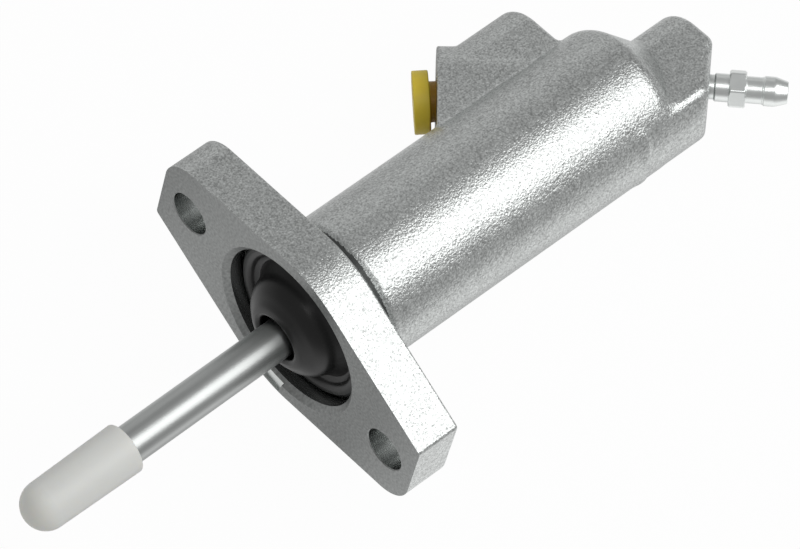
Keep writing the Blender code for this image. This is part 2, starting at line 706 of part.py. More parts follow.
def dust_boot():
    """The rubber boot: a bead in the recess, a rolled valley, a dome and a lip round the rod."""
    bead_outer = RECESS_RADIUS - FIT_GAP
    bead_middle = -RECESS_DEPTH + FIT_GAP + BOOT_BEAD / 2
    wall = BOOT_WALL
    valley = -RECESS_DEPTH + FIT_GAP + wall / 2
    front = BOOT_DOME_FRONT - wall / 2
    middle = (front + valley) / 2
    slope = (BOOT_VALLEY_RADIUS - BOOT_DOME_RADIUS) / 2
    neck = BOOT_OPENING_RADIUS + BOOT_NECK_WALL / 2
    knots = [
        (bead_outer, bead_middle, BOOT_BEAD),
        (bead_outer - BOOT_BEAD * BOOT_BEAD_BITE, bead_middle, BOOT_BEAD),
        (BOOT_VALLEY_RADIUS + wall, valley + wall / 3, wall * BOOT_VALLEY_SWELL),
        (BOOT_VALLEY_RADIUS, valley, wall),
        (BOOT_VALLEY_RADIUS - slope / 2, valley + wall / 2, wall),
        (BOOT_DOME_RADIUS + slope * BOOT_DOME_BULGE, middle, wall),
        (BOOT_DOME_RADIUS, front - wall * BOOT_DOME_DROP, wall),
        (BOOT_DOME_RADIUS - wall, front - wall / 3, wall),
        (neck + wall, front, wall),
        (neck, front + wall, BOOT_NECK_WALL),
        (neck, BOOT_NECK_FRONT, BOOT_NECK_WALL),
    ]
    line = smooth_line(knots, 2)
    under = []
    over = []
    for index, (radius, height, thickness) in enumerate(line):
        before = line[max(index - 1, 0)]
        after = line[min(index + 1, len(line) - 1)]
        along = Vector((after[0] - before[0], after[1] - before[1])).normalized()
        across = Vector((along.y, -along.x)) * thickness / 2
        under.append((radius - across.x, height - across.y))
        over.append((radius + across.x, height + across.y))
    profile = under + over[::-1]
    boot = along_bore("dust_boot", profile, BOOT_STEPS)
    finish(boot, material("boot_rubber", (0.015, 0.015, 0.015), 0.5, 0.0))


def bleed_screw():
    """The bleed screw: cone point, thread, relief, collar, hexagon and hose barb, with its drillings."""
    hex_start = SCREW_RELIEF_LENGTH + SCREW_COLLAR_LENGTH
    hex_end = hex_start + SCREW_HEX_LENGTH
    barb_start = hex_end + SCREW_NECK_LENGTH
    barb_end = barb_start + SCREW_BARB_LENGTH
    hole = SCREW_THREAD_RADIUS + FIT_GAP
    cone_start = -BLEED_HOLE_DEPTH + hole - BLEED_DRILL_RADIUS + FIT_GAP
    cone_end = cone_start - SCREW_THREAD_RADIUS + BLEED_DRILL_RADIUS
    edge = FIT_GAP
    profile = [
        (0, barb_end),
        (SCREW_TIP_RADIUS - edge, barb_end),
        (SCREW_TIP_RADIUS, barb_end - edge),
        (SCREW_BARB_RADIUS, barb_start + SCREW_BARB_LENGTH * SCREW_BARB_STRAIGHT_SHARE),
        (SCREW_BARB_RADIUS, barb_start + edge),
        (SCREW_NECK_RADIUS, barb_start),
        (SCREW_NECK_RADIUS, hex_start),
        (SCREW_COLLAR_RADIUS, hex_start),
        (SCREW_COLLAR_RADIUS, SCREW_RELIEF_LENGTH + edge),
        (SCREW_COLLAR_RADIUS - edge, SCREW_RELIEF_LENGTH),
        (SCREW_RELIEF_RADIUS, SCREW_RELIEF_LENGTH),
        (SCREW_RELIEF_RADIUS, -edge),
        (SCREW_THREAD_RADIUS, -edge - SCREW_THREAD_RADIUS + SCREW_RELIEF_RADIUS),
        (SCREW_THREAD_RADIUS, cone_start),
        (BLEED_DRILL_RADIUS, cone_end),
        (0, cone_end),
    ]
    screw = turned("bleed_screw", profile, BLEED_FACE, BLEED_DIRECTION, SMALL_STEPS)
    corner = SCREW_HEX_WIDTH / 2 / math.cos(math.pi / 6)
    nut_profile = [
        (0, hex_end),
        (SCREW_HEX_WIDTH / 2, hex_end),
        (corner, hex_end - edge),
        (corner, hex_start + edge),
        (SCREW_HEX_WIDTH / 2, hex_start),
        (0, hex_start),
    ]
    nut = turned("screw_hexagon", nut_profile, BLEED_FACE, BLEED_DIRECTION, 6)
    nut.rotation_quaternion @= Quaternion((0, 0, 1), SCREW_HEX_TURN)
    combine(screw, nut, "UNION")
    cross_depth = cone_start + SCREW_CROSS_RADIUS * 2
    bore = [
        (0, barb_end + edge),
        (SCREW_BORE_RADIUS, barb_end + edge),
        (SCREW_BORE_RADIUS, cross_depth),
        (0, cross_depth - SCREW_BORE_RADIUS / 2),
    ]
    combine(screw, turned("screw_bore", bore, BLEED_FACE, BLEED_DIRECTION, 16), "DIFFERENCE")
    sideways = BLEED_DIRECTION.cross(AXIS).normalized()
    middle = BLEED_FACE + BLEED_DIRECTION * cross_depth
    drill = [
        (0, hole),
        (SCREW_CROSS_RADIUS, hole),
        (SCREW_CROSS_RADIUS, -hole),
        (0, -hole),
    ]
    combine(screw, turned("screw_cross_drill", drill, middle, sideways, 12), "DIFFERENCE")
    finish(screw, material("plated_steel", (0.6, 0.6, 0.58), 0.28, 1.0))


def port_plug():
    """The yellow plug: a plain disc head and a hollow stem pushed into the port."""
    head_start = PLUG_STEM_SHOWN
    head_end = head_start + PLUG_HEAD_LENGTH
    edge = FIT_GAP
    inside = PLUG_STEM_RADIUS - PLUG_WALL
    seal = PORT_THREAD_RADIUS - FIT_GAP
    seal_depth = PLUG_STEM_DEPTH / 2
    profile = [
        (0, head_end),
        (PLUG_HEAD_RADIUS - edge, head_end),
        (PLUG_HEAD_RADIUS, head_end - edge),
        (PLUG_HEAD_RADIUS, head_start + edge),
        (PLUG_HEAD_RADIUS - edge, head_start),
        (PLUG_STEM_RADIUS, head_start),
        (PLUG_STEM_RADIUS, -seal_depth),
        (seal, -seal_depth - edge),
        (seal, -seal_depth - 3 * edge),
        (PLUG_STEM_RADIUS, -seal_depth - 4 * edge),
        (PLUG_STEM_RADIUS, -PLUG_STEM_DEPTH + edge),
        (PLUG_STEM_RADIUS - edge, -PLUG_STEM_DEPTH),
        (inside, -PLUG_STEM_DEPTH),
        (inside, head_start),
        (0, head_start),
    ]
    plug = turned("port_plug", profile, PORT_FACE, PORT_DIRECTION, SMALL_STEPS)
    finish(plug, material("yellow_plastic", (0.62, 0.45, 0.03), 0.4, 0.0))


clear_scene()
parts = collection("clutch_slave_cylinder")
helpers = collection("cutters")
housing()
snap_ring()
piston()
guide_ring()
cup_seal()
seal_spreader()
return_spring()
push_rod()
rod_tip()
dust_boot()
bleed_screw()
port_plug()
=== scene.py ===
"""Looks of a clutch slave cylinder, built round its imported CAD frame. Lengths are metres in the frame's axes:
+X out of the mouth along the push rod, +Y along the bolt holes, +Z up."""

import math

import bpy
import numpy as np
from mathutils import Matrix, Vector


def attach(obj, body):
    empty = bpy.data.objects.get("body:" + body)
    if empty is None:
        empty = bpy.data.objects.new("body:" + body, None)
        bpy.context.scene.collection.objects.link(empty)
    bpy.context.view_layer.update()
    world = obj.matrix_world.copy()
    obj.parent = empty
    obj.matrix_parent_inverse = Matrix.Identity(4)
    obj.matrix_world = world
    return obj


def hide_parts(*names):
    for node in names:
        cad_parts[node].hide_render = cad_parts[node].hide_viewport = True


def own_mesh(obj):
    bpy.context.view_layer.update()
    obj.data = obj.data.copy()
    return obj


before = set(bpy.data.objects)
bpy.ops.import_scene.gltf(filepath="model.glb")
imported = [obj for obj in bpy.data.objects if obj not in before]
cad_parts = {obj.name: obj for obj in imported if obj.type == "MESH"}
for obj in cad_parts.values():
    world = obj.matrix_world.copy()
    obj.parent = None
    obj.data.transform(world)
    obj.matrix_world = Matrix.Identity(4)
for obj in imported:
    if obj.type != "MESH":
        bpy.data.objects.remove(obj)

for startup_name in ("Cube", "Light", "Camera"):
    startup = bpy.data.objects.get(startup_name)
    if startup:
        bpy.data.objects.remove(startup, do_unlink=True)
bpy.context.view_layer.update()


# Camera. The photograph is taken with a long lens from above the flange's side of the part. The three
# directions are the picture's right, up and backward ones, and the eye is the point they were fitted from.
eye = Vector((0.46403, 0.21102, 1.03947))
picture_right = (-0.7431, 0.6302, 0.2249)
picture_up = (-0.5210, -0.7559, 0.3966)
picture_back = (0.4199, 0.1775, 0.8900)
lens = bpy.data.cameras.new("photo_lens")
lens.lens = 270
lens.sensor_width = 36
lens.clip_start = 0.05
lens.clip_end = 50
camera = bpy.data.objects.new("photo_camera", lens)
picture_axes = Matrix((picture_right, picture_up, picture_back)).transposed().to_4x4()
camera.matrix_world = Matrix.Translation(eye) @ picture_axes
bpy.context.scene.collection.objects.link(camera)
bpy.context.scene.camera = camera


# Housing. One gravity casting in aluminium with a fine blasted skin. Its flange face, neck, bore, recess, holes
# and both spot faces are machined afterwards, so those edges are crisp where the cast ones are soft, and a small
# spot is ground bright at the foot of the flange's rim.
class Socket:
    """One output of a shader node. Python's arithmetic on it adds Math nodes to its tree."""

    def __init__(self, tree, output):
        self.tree = tree
        self.output = output

    def node(self, kind, settings=None, **values):
        """Adds a node of this kind: its settings first, then its sockets' values or links, each by name, or by
        number after an s."""
        made = self.tree.nodes.new(kind)
        for name, value in (settings or {}).items():
            if name == "stops":
                made.color_ramp.elements[0].position, made.color_ramp.elements[0].color = value[0]
                made.color_ramp.elements[1].position, made.color_ramp.elements[1].color = value[-1]
                for position, colour in value[1:-1]:
                    made.color_ramp.elements.new(position).color = colour
            else:
                setattr(made, name, value)
        for name, value in values.items():
            socket = made.inputs[int(name[1:])] if name[1:].isdigit() else made.inputs[name.replace("_", " ")]
            if isinstance(value, Socket):
                self.tree.links.new(value.output, socket)
            else:
                socket.default_value = value
        return made

    def of(self, kind, settings=None, result=0, **values):
        """The same, giving one of the node's outputs."""
        return Socket(self.tree, self.node(kind, settings, **values).outputs[result])

    def math(self, operation, *values):
        """A Math node on this value and the others."""
        inputs = {f"s{index}": value for index, value in enumerate((self, *values))}
        return self.of("ShaderNodeMath", {"operation": operation}, **inputs)

    def __add__(self, other):
        return self.math("ADD", other)

    def __sub__(self, other):
        return self.math("SUBTRACT", other)

    def __rsub__(self, other):
        return self.math("MULTIPLY_ADD", -1.0, other)

    def __mul__(self, other):
        return self.math("MULTIPLY", other)

    __radd__ = __add__
    __rmul__ = __mul__

    def clamped(self):
        return self.of("ShaderNodeClamp", s0=self)

    def mix(self, low, high):
        """Colour that goes from low to high as this value goes from 0 to 1."""
        return self.of("ShaderNodeMix", {"data_type": "RGBA"}, 2, s0=self, s6=low, s7=high)


def finish_named(name, **constants):
    """A new material: its Principled shader with its constant values, and the Object coordinates to paint with."""
    made = bpy.data.materials.new(name)
    made.use_nodes = True
    tree = made.node_tree
    shader = tree.nodes["Principled BSDF"]
    for socket, value in constants.items():
        shader.inputs[socket.replace("_", " ")].default_value = value
    place = Socket(tree, tree.nodes.new("ShaderNodeTexCoord").outputs["Object"])
    return made, shader, place


def wire(shader, socket, value):
    """Links a value to one of the shader's sockets."""
    value.tree.links.new(value.output, shader.inputs[socket])


def grey(level):
    return (level, level, level, 1)


def bare_aluminium(level):
    """Aluminium's grey, which leans a little to green and blue."""
    return (level * 0.97, level, level * 0.985, 1)


def speckle(place, size, detail=2.0, rough=0.5):
    """Noise from 0 to 1 whose grains are about this size in metres, which is half a cell of the noise."""
    return place.of("ShaderNodeTexNoise", None, Vector=place, Scale=0.5 / size, Detail=detail, Roughness=rough)


def tool_lines(along, scale, detail):
    """Noise from 0 to 1 that changes with one distance only, like the marks of a turning tool."""
    return along.of("ShaderNodeTexNoise", {"noise_dimensions": "1D"}, W=along, Scale=scale, Detail=detail)


def part_of(place, number):
    """One coordinate of a place: 0 along the bore, 1 along the bolt holes, 2 upwards."""
    return place.of("ShaderNodeSeparateXYZ", None, number, Vector=place)


def bumped(height, depth, strength=1.0, under=None):
    """Bump from a height of 0 to 1 that stands for this depth in metres, over what lies under it."""
    values = {"Height": height, "Distance": depth, "Strength": strength}
    if under:
        values["Normal"] = under
    return height.of("ShaderNodeBump", None, **values)


def cast_skin():
    """Blasted cast aluminium: bright fine grain over slow clouds, duller in the pits."""
    made, shader, place = finish_named("cast_skin", Metallic=0.9, Specular_IOR_Level=0.5)
    grain = speckle(place, 0.00020, 1.0)
    pebble = speckle(place, 0.00040, 2.0, 0.6)
    swell = speckle(place, 0.0014, 2.0)
    cloud = speckle(place, 0.009, 3.0, 0.6)
    tone = (grain * 1.6 + pebble * 1.0 + cloud * 0.3 - 0.95).clamped()
    wire(shader, "Base Color", tone.mix(bare_aluminium(0.40), bare_aluminium(0.86)))
    wire(shader, "Roughness", 0.28 + cloud * 0.08)
    rough = bumped(pebble, 0.00010, 1.0, bumped(grain, 0.00006))
    wire(shader, "Normal", bumped(swell, 0.00005, 1.0, rough))
    return made


def milled_face():
    """Faced aluminium with fine rings about the bore left by the tool; its dark grey is painted shade."""
    made, shader, place = finish_named("milled_face", Metallic=0.9)
    beside = part_of(place, 1)
    above = part_of(place, 2)
    rings = tool_lines((beside * beside + above * above).math("SQRT"), 5200, 2.0)
    cloud = speckle(place, 0.006, 3.0, 0.6)
    fine = speckle(place, 0.0003, 2.0)
    tone = (cloud * 0.5 + fine * 1.8 - 0.65).clamped()
    # The low grey levels are painted shade, darker than the cast skin, for the shadowed table these faces mirror.
    wire(shader, "Base Color", tone.mix(bare_aluminium(0.24), bare_aluminium(0.44)))
    wire(shader, "Roughness", 0.40 + cloud * 0.1)
    wire(shader, "Normal", bumped(rings, 0.00001, 0.35))
    return made


def turned_bore():
    """The bored and grooved surfaces, which stay bare and catch less light."""
    made, shader, place = finish_named("turned_bore", Metallic=1.0)
    lines = tool_lines(part_of(place, 0), 4200, 3.0)
    wire(shader, "Base Color", speckle(place, 0.003, 3.0).mix(bare_aluminium(0.44), bare_aluminium(0.60)))
    wire(shader, "Roughness", 0.20 + lines * 0.12)
    wire(shader, "Normal", bumped(lines, 0.00001, 0.5))
    return made


def turned_neck():
    """The turned neck behind the flange, which lies in the flange's shade; its very dark grey is painted shade."""
    made, shader, place = finish_named("turned_neck", Metallic=0.9)
    lines = tool_lines(part_of(place, 0), 4200, 3.0)
    # Very dark grey: painted shade from the flange falling over the neck.
    wire(shader, "Base Color", speckle(place, 0.0006, 3.0, 0.6).mix(bare_aluminium(0.08), bare_aluminium(0.20)))
    wire(shader, "Roughness", 0.38 + lines * 0.12)
    wire(shader, "Normal", bumped(lines, 0.00001, 0.5))
    return made


def ground_spot():
    """The bright spot ground into the rim's foot, with scratches along the rim."""
    made, shader, place = finish_named("ground_spot", Metallic=1.0)
    stretched = place.of("ShaderNodeMapping", None, Vector=place, Scale=(1.0, 0.1, 1.0))
    scratches = speckle(stretched, 0.00015, 3.0)
    wire(shader, "Base Color", scratches.mix(bare_aluminium(0.94), bare_aluminium(1.0)))
    wire(shader, "Roughness", 0.30 + scratches * 0.16)
    wire(shader, "Normal", bumped(scratches, 0.00001, 0.6))
    return made


def facing_out(obj):
    """Turns a closed mesh's faces outwards where its volume comes out below 0."""
    mesh = obj.data
    mesh.calc_loop_triangles()
    corners = np.empty(len(mesh.loop_triangles) * 3, np.int32)
    mesh.loop_triangles.foreach_get("vertices", corners)
    points = np.empty(len(mesh.vertices) * 3, np.float64)
    mesh.vertices.foreach_get("co", points)
    if np.linalg.det(points.reshape(-1, 3)[corners.reshape(-1, 3)]).sum() < 0:
        mesh.flip_normals()
    return obj


def piece(name, points, faces, materials, crease=math.radians(38)):
    """A mesh object at the origin from an array of points and one of faces, smooth but for its sharp edges."""
    mesh = bpy.data.meshes.new(name)
    mesh.from_pydata(points.tolist(), [], faces.tolist() if isinstance(faces, np.ndarray) else faces)
    mesh.shade_smooth()
    mesh.set_sharp_from_angle(angle=crease)
    for made_of in materials:
        mesh.materials.append(made_of)
    obj = bpy.data.objects.new(name, mesh)
    bpy.context.scene.collection.objects.link(obj)
    return facing_out(obj)


def rounded_path(corners, closed, turn=math.radians(9), margin=0.00012):
    """Points of a path through (along, radius, rounding) corners: each becomes a tangent arc of its rounding,
    with one more point close to both ends of every straight, which keeps the shading of flats flat."""
    spots = [np.array(corner[:2], float) for corner in corners]
    arcs = []
    for index, (_, _, rounding) in enumerate(corners):
        here = spots[index]
        if not rounding:
            arcs.append(here[None])
            continue
        before = spots[index - 1] - here
        after = spots[(index + 1) % len(corners)] - here
        before /= np.linalg.norm(before)
        after /= np.linalg.norm(after)
        half = math.acos(np.clip(before @ after, -1, 1)) / 2
        bisector = (before + after) / np.linalg.norm(before + after)
        centre = here + bisector * rounding / math.sin(half)
        start = here + before * rounding / math.tan(half) - centre
        end = here + after * rounding / math.tan(half) - centre
        swept = math.atan2(start[0] * end[1] - start[1] * end[0], start @ end)
        t = np.linspace(0, swept, max(3, math.ceil(abs(swept) / turn) + 1))[:, None]
        arcs.append(centre + np.cos(t) * start + np.sin(t) * np.array([-start[1], start[0]]))
    line = []
    for index, arc in enumerate(arcs):
        line.append(arc)
        following = arcs[(index + 1) % len(arcs)][0]
        gap = np.linalg.norm(following - arc[-1])
        if gap > 4 * margin and (closed or index + 1 < len(arcs)):
            step = (following - arc[-1]) * margin / gap
            line.append(np.array([arc[-1] + step, following - step]))
    return np.concatenate(line)


def lattice(rows, steps, closed=False):
    """Quads of a grid of points that closes round its steps, and round its rows too where it is a closed ring."""
    i, j = np.meshgrid(np.arange(rows if closed else rows - 1), np.arange(steps), indexing="ij")
    below = (i + 1) % rows
    beside = (j + 1) % steps
    quads = np.stack([i * steps + j, i * steps + beside, below * steps + beside, below * steps + j], -1)
    return quads.reshape(-1, 4).tolist()


def upright(direction):
    """Two unit vectors at right angles to a direction and to each other."""
    direction = np.array(direction, float)
    right = np.cross(direction, (0.0, 0.0, 1.0) if abs(direction[2]) < 0.9 else (1.0, 0.0, 0.0))
    right /= np.linalg.norm(right)
    return right, np.cross(direction, right)


def turned(name, corners, place, direction, materials, steps=96, section=None):
    """Surface of revolution of a path through (along, radius, rounding) corners: point(s, t) = place + along(s) *
    direction + radius(s) * (cos t * right + sin t * up). The path starts and ends on the axis, or is a closed
    ring. section(along, radius, t) may change the radius."""
    closed = corners[0][1] > 0
    path = rounded_path(corners, closed)
    if not closed:
        path = path[path[:, 1] > 1e-7]
    t = np.arange(steps) * 2 * math.pi / steps
    along = np.repeat(path[:, :1], steps, 1)
    radius = np.repeat(path[:, 1:], steps, 1)
    if section:
        radius = section(along, radius, t[None])
    right, up = upright(direction)
    points = (
        np.array(place, float)
        + along[..., None] * np.array(direction, float)
        + radius[..., None] * (np.cos(t)[None, :, None] * right + np.sin(t)[None, :, None] * up)
    )
    faces = lattice(len(path), steps, closed)
    points = points.reshape(-1, 3)
    if not closed:
        tips = np.array([[corners[0][0]], [corners[-1][0]]])
        points = np.concatenate([points, tips * np.array(direction, float) + np.array(place, float)])
        count = len(path) * steps
        ring = np.arange(steps)
        following = (ring + 1) % steps
        faces += np.stack([following, ring, np.full(steps, count)], 1).tolist()
        foot = count - steps
        faces += np.stack([foot + ring, foot + following, np.full(steps, count + 1)], 1).tolist()
    return piece(name, points, faces, materials)


bolt_spacing = 0.0600
bolt_hole_radius = 0.0047
flange_thickness = 0.0101
waist_radius = 0.0220
ear_reach = 0.0368
ear_half_width = 0.0111
ear_slant = 0.0024
ear_corner = 0.0010
ear_soft_corner = 0.0080
flange_back_round = 0.0006
barrel_radius = 0.01605
neck_radius = 0.0146
neck_end = 0.0122
neck_slope = 0.0025
shoulder = 0.0886
recess_radius = 0.0178
recess_depth = 0.0065
recess_chamfer = 0.0012
spot_half_width = 0.0046
spot_foot = -0.02135
spot_depth = 0.0005
bore_radius = 0.0111
bore_depth = 0.0840
bore_floor_slope = 0.0050
pilot_radius = 0.0025
pilot_depth = 0.0975
pilot_tip = 0.0989
ring_groove_radius = bore_radius + 0.0013
ring_groove_front = 0.0089
ring_groove_back = 0.0105
boss_roll = math.radians(18)
port_tilt = math.radians(42)
port_crossing = 0.0865
port_reach = 0.0352
port_boss_radius = 0.0109
port_hole_radius = 0.0045
port_hole_depth = 0.0090
port_drill_radius = 0.0016
port_drill_depth = 0.0222
rib_height = 0.0287
rib_half_width = 0.0106
rib_end = 0.0838
bleed_tilt = math.radians(47)
bleed_crossing = 0.0950
bleed_reach = 0.0128
bleed_half_width = 0.0081
bleed_boss_end = 0.1089
bleed_hole_radius = 0.0033
bleed_thread_depth = 0.0048
bleed_seat_depth = 0.0070
bleed_drill_radius = 0.0011
axis = np.array([1.0, 0.0, 0.0])
port_side = np.array([0.0, -math.cos(boss_roll), -math.sin(boss_roll)])
plane_up = np.cross(port_side, axis)
port_direction = axis * math.cos(port_tilt) + port_side * math.sin(port_tilt)
port_face = axis * -port_crossing + port_direction * port_reach
bleed_direction = -axis * math.cos(bleed_tilt) - port_side * math.sin(bleed_tilt)
bleed_face = axis * -bleed_crossing + bleed_direction * bleed_reach


def flat(points, spot, direction):
    """A form that ends at a plane: the distance of points beyond it, and the direction in which it faces."""
    direction = np.asarray(direction, points.dtype)
    return (points - np.asarray(spot, points.dtype)) @ direction, np.broadcast_to(direction, points.shape)


def bar(points, spot, direction, radius):
    """A round bar along a line: the distance of points outside it, and the direction away from it."""
    direction = np.asarray(direction, points.dtype)
    offset = points - np.asarray(spot, points.dtype)
    offset = offset - (offset @ direction)[..., None] * direction
    length = np.maximum(np.linalg.norm(offset, axis=-1), 1e-6)
    return length - radius, offset / length[..., None]


def met(one, other, radius=0.0):
    """What lies inside both forms, with a rounded edge: the larger distance, or near the edge the distance from
    the edge's arc. The cosine between the two outward directions places the arc's centre, and is held away from
    1 and -1, where the forms run side by side and have no arc."""
    (a, out_a), (b, out_b) = one, other
    lean = (out_a * out_b).sum(-1).clip(-0.90, 0.97)
    first = (a + radius - lean * (b + radius)) / (1 - lean**2)
    second = (b + radius - lean * (a + radius)) / (1 - lean**2)
    length = np.sqrt(np.maximum(first**2 + second**2 + 2 * lean * first * second, 1e-12))
    arc = (first > 0) & (second > 0)
    flats = np.where((a > b)[..., None], out_a, out_b)
    curve = (first[..., None] * out_a + second[..., None] * out_b) / length[..., None]
    return np.where(arc, length - radius, np.maximum(a, b)), np.where(arc[..., None], curve, flats)


def joined(one, other, radius):
    """What lies inside either form, with a fillet of this radius where they meet: the meet of their outsides."""
    distance, inward = met((-one[0], -one[1]), (-other[0], -other[1]), radius)
    return -distance, -inward


barrel_end = 0.1000
shoulder_round = 0.0052
neck_round = 0.0006
rib_crest_round = 0.0085
rib_end_round = 0.0022
rib_root = 0.0040
port_boss_root = 0.0230
port_boss_fillet = 0.0015
port_edge_round = 0.0004
port_fillet = 0.0014
port_stock = 0.00004
lobe_inset = 0.00005
lobe_crest_round = 0.0020
lobe_end_round = 0.0026
lobe_edge_round = 0.0024
lobe_stock = 0.0002
lobe_root = 0.0820
lobe_fillet = 0.0034
cast_front = 0.0120


def casting_distance(points):
    """Distance from points to the cast barrel with its two bosses, below 0 inside, before any machining."""
    kind = points.dtype
    across = points @ port_side.astype(kind)
    up = points @ plane_up.astype(kind)
    origin = (0, 0, 0)
    barrel = bar(points, origin, axis, barrel_radius)
    outward = barrel[1]
    rear_cone = (
        (barrel[0] - points[..., 0] - shoulder) * math.sqrt(0.5),
        (outward - axis.astype(kind)) * math.sqrt(0.5),
    )
    front_rise = barrel_radius - neck_radius
    front_length = math.hypot(front_rise, neck_slope)
    front_cone = (
        ((points[..., 0] + neck_end) * front_rise + (barrel[0] + front_rise) * neck_slope) / front_length,
        (axis.astype(kind) * front_rise + outward * neck_slope) / front_length,
    )
    barrel = met(barrel, rear_cone, shoulder_round)
    barrel = met(barrel, front_cone, neck_round)
    barrel = met(barrel, flat(points, (-barrel_end, 0, 0), -axis))

    side = np.sign(up)[..., None] * plane_up.astype(kind)
    port_end = flat(points, port_face + port_direction * port_stock, port_direction)
    rib = met((np.abs(up) - rib_half_width, side), flat(points, port_side * rib_height, port_side), rib_crest_round)
    rib = met(rib, flat(points, (-rib_end, 0, 0), -axis), rib_end_round)
    rib = met(rib, flat(points, port_side * rib_root, -port_side))
    rib = met(rib, port_end, port_edge_round)
    boss = bar(points, port_face, port_direction, port_boss_radius)
    boss = met(boss, flat(points, port_face - port_direction * port_boss_root, -port_direction))
    port = met(joined(rib, boss, port_boss_fillet), port_end, port_edge_round)

    to_side = np.maximum(across, 0)
    wide = np.maximum(np.hypot(to_side, up), 1e-6)
    lobe_out = to_side[..., None] * port_side.astype(kind) + up[..., None] * plane_up.astype(kind)
    crest = bar(points, origin, axis, barrel_radius - lobe_inset)
    lobe = met((wide - bleed_half_width, lobe_out / wide[..., None]), crest, lobe_crest_round)
    lobe = met(lobe, flat(points, (-bleed_boss_end, 0, 0), -axis), lobe_end_round)
    lobe = met(lobe, flat(points, bleed_face + bleed_direction * lobe_stock, bleed_direction), lobe_edge_round)
    lobe = met(lobe, flat(points, (-lobe_root, 0, 0), axis))
    whole = joined(joined(barrel, port, port_fillet), lobe, lobe_fillet)
    return met(whole, flat(points, (-cast_front, 0, 0), axis))[0]


def skin_of(distance, low, high, cell):
    """Closed skin where a distance is 0: one point in each cell of a grid that the skin crosses, at the mean of
    its crossings and then moved onto the skin by four steps of a share of its distance, and one quad round each
    grid edge that it crosses."""
    ticks = [np.arange(a, b, cell, dtype=np.float32) for a, b in zip(low, high)]
    values = distance(np.stack(np.meshgrid(*ticks, indexing="ij"), -1))
    inside = values < 0
    shape = np.array(values.shape)
    total = np.zeros((*(shape - 1), 3), np.float32)
    count = np.zeros(shape - 1, np.int32)
    crossings = []
    for a in range(3):
        b, c = (a + 1) % 3, (a + 2) % 3
        start = [slice(None)] * 3
        start[a] = slice(None, -1)
        end = [slice(None)] * 3
        end[a] = slice(1, None)
        crossed = inside[tuple(start)] != inside[tuple(end)]
        at = np.argwhere(crossed)
        at = at[(at[:, b] > 0) & (at[:, c] > 0) & (at[:, b] < shape[b] - 1) & (at[:, c] < shape[c] - 1)]
        first = values[tuple(at.T)]
        beyond = at.copy()
        beyond[:, a] += 1
        share = first / (first - values[tuple(beyond.T)])
        spot = at.astype(np.float32)
        spot[:, a] += share
        around = []
        for db, dc in ((0, 0), (-1, 0), (-1, -1), (0, -1)):
            cell_at = at.copy()
            cell_at[:, b] += db
            cell_at[:, c] += dc
            np.add.at(total, tuple(cell_at.T), spot)
            np.add.at(count, tuple(cell_at.T), 1)
            around.append(cell_at)
        crossings.append((around, inside[tuple(at.T)]))
    used = count > 0
    number = np.full(count.shape, -1, np.int64)
    number[used] = np.arange(used.sum())
    points = (total[used] / count[used][:, None]) * cell + np.array([t[0] for t in ticks], np.float32)
    points = points.astype(np.float64)
    faces = []
    for around, solid in crossings:
        quad = np.stack([number[tuple(cells.T)] for cells in around], 1)
        faces.append(np.where(solid[:, None], quad[:, ::-1], quad))
    nudge = cell / 50
    flattest = 0.2
    step_share = 0.8
    for _ in range(4):
        sides = [(distance(points + nudge * e), distance(points - nudge * e)) for e in np.eye(3)]
        slope = np.stack([(ahead - behind) / (2 * nudge) for ahead, behind in sides], -1)
        points -= slope * (distance(points) / np.maximum((slope**2).sum(-1), flattest))[:, None] * step_share
    return points, np.concatenate(faces)


def flange_ring():
    """Outline of the flange as points and outward normals: an arc round the waist, straight flanks tangent to it,
    and ears whose slanting ends have one crisp and one soft corner, the same after half a turn."""
    flank = math.atan2(ear_half_width, ear_reach)
    flank += math.acos(waist_radius / math.hypot(ear_reach, ear_half_width))
    apex = waist_radius / math.sin(flank)
    slope = (apex - ear_half_width) / ear_reach
    ear = [
        (ear_reach, ear_half_width, ear_corner),
        (ear_reach + ear_slant, -ear_half_width + ear_slant * slope, ear_soft_corner),
    ]
    far_ear = [(-y, -z, rounding) for y, z, rounding in ear]
    corners = [(0, apex, waist_radius), *ear, (0, -apex, waist_radius), *far_ear]
    line = rounded_path(corners, True, math.radians(3), 0.0006)
    tangent = np.roll(line, -1, 0) - np.roll(line, 1, 0)
    tangent /= np.linalg.norm(tangent, axis=1)[:, None]
    return line, np.stack([-tangent[:, 1], tangent[:, 0]], 1)


def flange_blank():
    """The flange's outline carried from front to back: point = outline - inset(s) * normal at depth(s). A row of
    points close to each edge keeps the shading of the side flat."""
    line, outward = flange_ring()
    t = np.linspace(0, math.pi / 2, 8)
    rounding = flange_back_round
    back = np.stack([-flange_thickness + rounding * (1 - np.sin(t)), rounding * (1 - np.cos(t))], 1)
    front = [[0.0, 0.0], [-0.0004, 0.0], [-flange_thickness + rounding + 0.0002, 0.0]]
    path = np.concatenate([front, back])
    edge = line[None] - path[:, 1, None, None] * outward[None]
    depth = np.repeat(path[:, 0, None], len(line), 1)
    points = np.concatenate([depth[..., None], edge], -1)
    rows, steps = depth.shape
    caps = [np.arange(steps)[::-1].tolist(), (np.arange(steps) + (rows - 1) * steps).tolist()]
    return piece("flange_blank", points.reshape(-1, 3), lattice(rows, steps) + caps, [])


